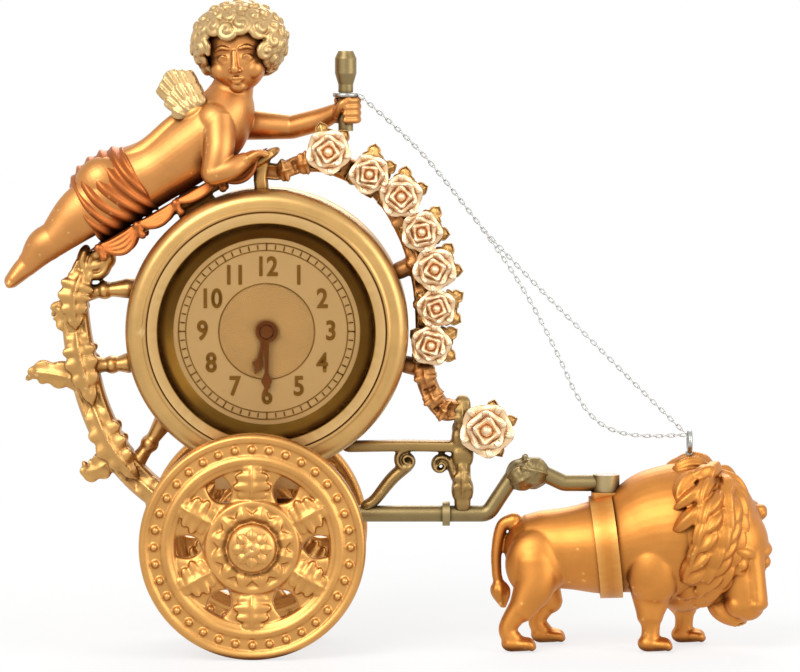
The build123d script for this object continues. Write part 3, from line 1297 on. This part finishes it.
with BuildPart() as escape_wheel:
    arbor(ESCAPE_AXIS)
    escape_front = level(ESCAPE_LEVEL)
    escape_back = escape_front + ESCAPE_THICKNESS
    saw_disc(ESCAPE_AXIS, ESCAPE_TEETH, ESCAPE_RADIUS, ESCAPE_TOOTH, escape_front, escape_back)
    pinion_teeth = (ESCAPE_LEAVES, FOURTH_MODULE, escape_pinion_phase)
    toothed_disc(ESCAPE_AXIS, *pinion_teeth, *pinion_ends_at(FOURTH_LEVEL))
save(escape_wheel, "escape_wheel")

# Pallet lever, balance, hairspring, cock and regulator
lever_front = level(LEVER_LEVEL)
lever_back = lever_front + LEVER_THICKNESS
pallet_bearing = degrees(atan2(PALLET_AXIS[1] - ESCAPE_AXIS[1], PALLET_AXIS[0] - ESCAPE_AXIS[0]))
with BuildPart() as pallet_lever:
    arbor(PALLET_AXIS)
    fork = polar(PALLET_AXIS, BALANCE_DISTANCE - ROLLER_RADIUS - 0.6, 262)
    pins = [polar(ESCAPE_AXIS, PALLET_PIN_CIRCLE, pallet_bearing + side * 60) for side in (-1, 1)]
    with BuildSketch(upright((0, 0), lever_back)):
        with Locations(PALLET_AXIS):
            Circle(LEVER_WIDTH)
        band((PALLET_AXIS, fork), (LEVER_WIDTH, LEVER_WIDTH))
        for pin in pins:
            band((PALLET_AXIS, pin), (LEVER_WIDTH, LEVER_WIDTH))
            with Locations(pin):
                Circle(LEVER_WIDTH / 2)
    extrude(amount=LEVER_THICKNESS)
    for pin in pins:
        disc(pin, PALLET_PIN_RADIUS, lever_front, level(ESCAPE_LEVEL) + ESCAPE_THICKNESS)
save(pallet_lever, "pallet_lever")

hairspring_front = BALANCE_BACK + 0.4
with BuildPart() as balance_wheel:
    disc(BALANCE_AXIS, PIVOT_RADIUS, FRONT_PLATE_FRONT, COCK_BACK)
    disc(BALANCE_AXIS, STAFF_RADIUS, level(END_SHAKE), COCK_FRONT - END_SHAKE)
    disc(BALANCE_AXIS, ROLLER_RADIUS, lever_front, lever_back)
    disc(BALANCE_AXIS, BALANCE_RADIUS, BALANCE_FRONT, BALANCE_BACK)
    disc(BALANCE_AXIS, HAIRSPRING_INNER - HAIRSPRING_THICKNESS, BALANCE_BACK, hairspring_front + 0.6)
    for bearing in (45, 135, 225, 315):
        with BuildSketch(upright(BALANCE_AXIS, BALANCE_BACK)):
            inner_rim = BALANCE_RADIUS - BALANCE_RIM
            with PolarLocations(inner_rim * 0.55, 1, bearing):
                Circle(inner_rim * 0.36)
        extrude(amount=BALANCE_THICKNESS, mode=Mode.SUBTRACT)
save(balance_wheel, "balance_wheel")

with BuildPart() as hairspring:
    spiral_strip(BALANCE_AXIS, HAIRSPRING_INNER, HAIRSPRING_OUTER, HAIRSPRING_TURNS, HAIRSPRING_THICKNESS,
                 hairspring_front, hairspring_front + 0.6)
save(hairspring, "hairspring")

with BuildPart() as balance_cock:
    with BuildSketch(upright((0, 0), COCK_BACK)):
        band((COCK_FOOT_POINT, BALANCE_AXIS), (COCK_FOOT, COCK_FOOT * 0.8))
        with Locations(BALANCE_AXIS):
            Circle(COCK_FOOT * 0.5)
    extrude(amount=COCK_THICKNESS)
    disc(COCK_FOOT_POINT, COCK_FOOT / 2, BACK_PLATE_BACK, COCK_BACK)
    disc(BALANCE_AXIS, BARREL_ARBOR_RADIUS, COCK_BACK, COCK_BACK + REGULATOR_THICKNESS + 0.1)
    stud = polar(BALANCE_AXIS, HAIRSPRING_OUTER + HAIRSPRING_THICKNESS / 2 + STAFF_RADIUS, -20)
    with BuildSketch(upright((0, 0), COCK_BACK)):
        band((BALANCE_AXIS, stud), (1.6, 1.6))
    extrude(amount=COCK_THICKNESS)
    disc(stud, STAFF_RADIUS, hairspring_front, COCK_FRONT)
    hole(BALANCE_AXIS, PIVOT_RADIUS + RUN_CLEARANCE, COCK_FRONT, COCK_BACK + 1)
    cock_screw_at(FIT_GAP, Mode.SUBTRACT)
save(balance_cock, "balance_cock")

with BuildPart() as cock_screw:
    cock_screw_at()
save(cock_screw, "cock_screw")

with BuildPart() as regulator_lever:
    regulator_front = COCK_BACK + RUN_CLEARANCE
    regulator_back = regulator_front + REGULATOR_THICKNESS
    tab = polar(BALANCE_AXIS, REGULATOR_ARM, 90)
    with BuildSketch(upright((0, 0), regulator_back)):
        with Locations(BALANCE_AXIS):
            Circle(REGULATOR_RADIUS)
        band((BALANCE_AXIS, polar(BALANCE_AXIS, REGULATOR_ARM + 0.5, 90)), (1.6, 1.6))
    extrude(amount=REGULATOR_THICKNESS)
    with BuildSketch(upright(tab, COVER_BACK + 2.0)):
        Rectangle(1.6, 1.0)
    extrude(amount=COVER_BACK + 2.0 - regulator_front)
    hole(BALANCE_AXIS, BARREL_ARBOR_RADIUS + RUN_CLEARANCE, COCK_BACK, COVER_BACK)
save(regulator_lever, "regulator_lever")

# Motion work and hands
cannon_back = FRONT_PLATE_FRONT - 0.25
cannon_front = cannon_back - 0.95
hour_back = cannon_front - 0.3
hour_front = hour_back - 0.9
hour_hand_front = DIAL_FRONT - HAND_GAP - HAND_THICKNESS
minute_hand_front = hour_hand_front - HAND_GAP - HAND_THICKNESS
cannon_radius = 1.45
minute_phase = 0.0
cannon_phase = mesh_phase(180, minute_phase, MINUTE_TEETH, CANNON_LEAVES)
hour_phase = mesh_phase(180, minute_phase, MINUTE_LEAVES, HOUR_TEETH)
nut_front = minute_hand_front - 0.9
knob_front = COVER_BACK + 1.0

with BuildPart() as hand_arbor:
    disc(CLOCK, HAND_ARBOR_RADIUS, nut_front + 0.2, knob_front + KNOB_HEIGHT - KNOB_CLOSED - FIT_GAP)
save(hand_arbor, "hand_arbor")

with BuildPart() as cannon_pinion:
    toothed_disc(CLOCK, CANNON_LEAVES, MOTION_MODULE, cannon_phase, cannon_front, cannon_back)
    disc(CLOCK, cannon_radius, minute_hand_front, cannon_back)
    hole(CLOCK, HAND_ARBOR_RADIUS + FIT_GAP, minute_hand_front, cannon_back)
save(cannon_pinion, "cannon_pinion")

with BuildPart() as minute_wheel:
    toothed_disc(MINUTE_AXIS, MINUTE_TEETH, MOTION_MODULE, minute_phase, cannon_front, cannon_back)
    toothed_disc(MINUTE_AXIS, MINUTE_LEAVES, MOTION_MODULE, minute_phase, hour_front, cannon_front)
    hole(MINUTE_AXIS, 0.6 + RUN_CLEARANCE, hour_front, cannon_back)
save(minute_wheel, "minute_wheel")

with BuildPart() as hour_wheel:
    toothed_disc(CLOCK, HOUR_TEETH, MOTION_MODULE, hour_phase, hour_front, hour_back)
    disc(CLOCK, hour_pipe_radius, hour_hand_front, hour_back)
    hole(CLOCK, cannon_radius + RUN_CLEARANCE, hour_hand_front, hour_back)
save(hour_wheel, "hour_wheel")


def hand(bearing, length, bore, front):
    """Spade hand that points clockwise from the twelve by its bearing."""
    angle = 90 - bearing
    shape = ((0, 0.75), (length * 0.62, 0.5), (length * 0.76, 1.5), (length * 0.84, 0.7))
    other_side = [(out, -half) for out, half in reversed(shape)]
    edge = [*shape, (length, 0), *other_side]
    points = []
    for out, half in edge:
        x, z = polar(CLOCK, out, angle)
        points.append((x - half * sin(radians(angle)), z + half * cos(radians(angle))))
    plate(points, front, front + HAND_THICKNESS)
    disc(CLOCK, bore + 0.9, front, front + HAND_THICKNESS)
    hole(CLOCK, bore + FIT_GAP, front, front + HAND_THICKNESS)


with BuildPart() as hour_hand:
    hand(HOUR_BEARING, HOUR_HAND_LENGTH, hour_pipe_radius, hour_hand_front)
save(hour_hand, "hour_hand")

with BuildPart() as minute_hand:
    hand(MINUTE_BEARING, MINUTE_HAND_LENGTH, cannon_radius, minute_hand_front)
save(minute_hand, "minute_hand")

with BuildPart() as hand_nut:
    turned(CLOCK, (
        (HAND_ARBOR_RADIUS + FIT_GAP, minute_hand_front),
        (cannon_radius + 0.6, minute_hand_front),
        (cannon_radius + 0.2, nut_front),
        (HAND_ARBOR_RADIUS + FIT_GAP, nut_front),
    ))
save(hand_nut, "hand_nut")

with BuildPart() as setting_knob:
    knob_module = KNOB_RADIUS / (KNOB_RIBS / 2 + ADDENDUM)
    toothed_disc(CLOCK, KNOB_RIBS, knob_module, 0.0, knob_front, knob_front + KNOB_HEIGHT)
    hole(CLOCK, HAND_ARBOR_RADIUS + FIT_GAP, knob_front, knob_front + KNOB_HEIGHT - KNOB_CLOSED)
save(setting_knob, "setting_knob")
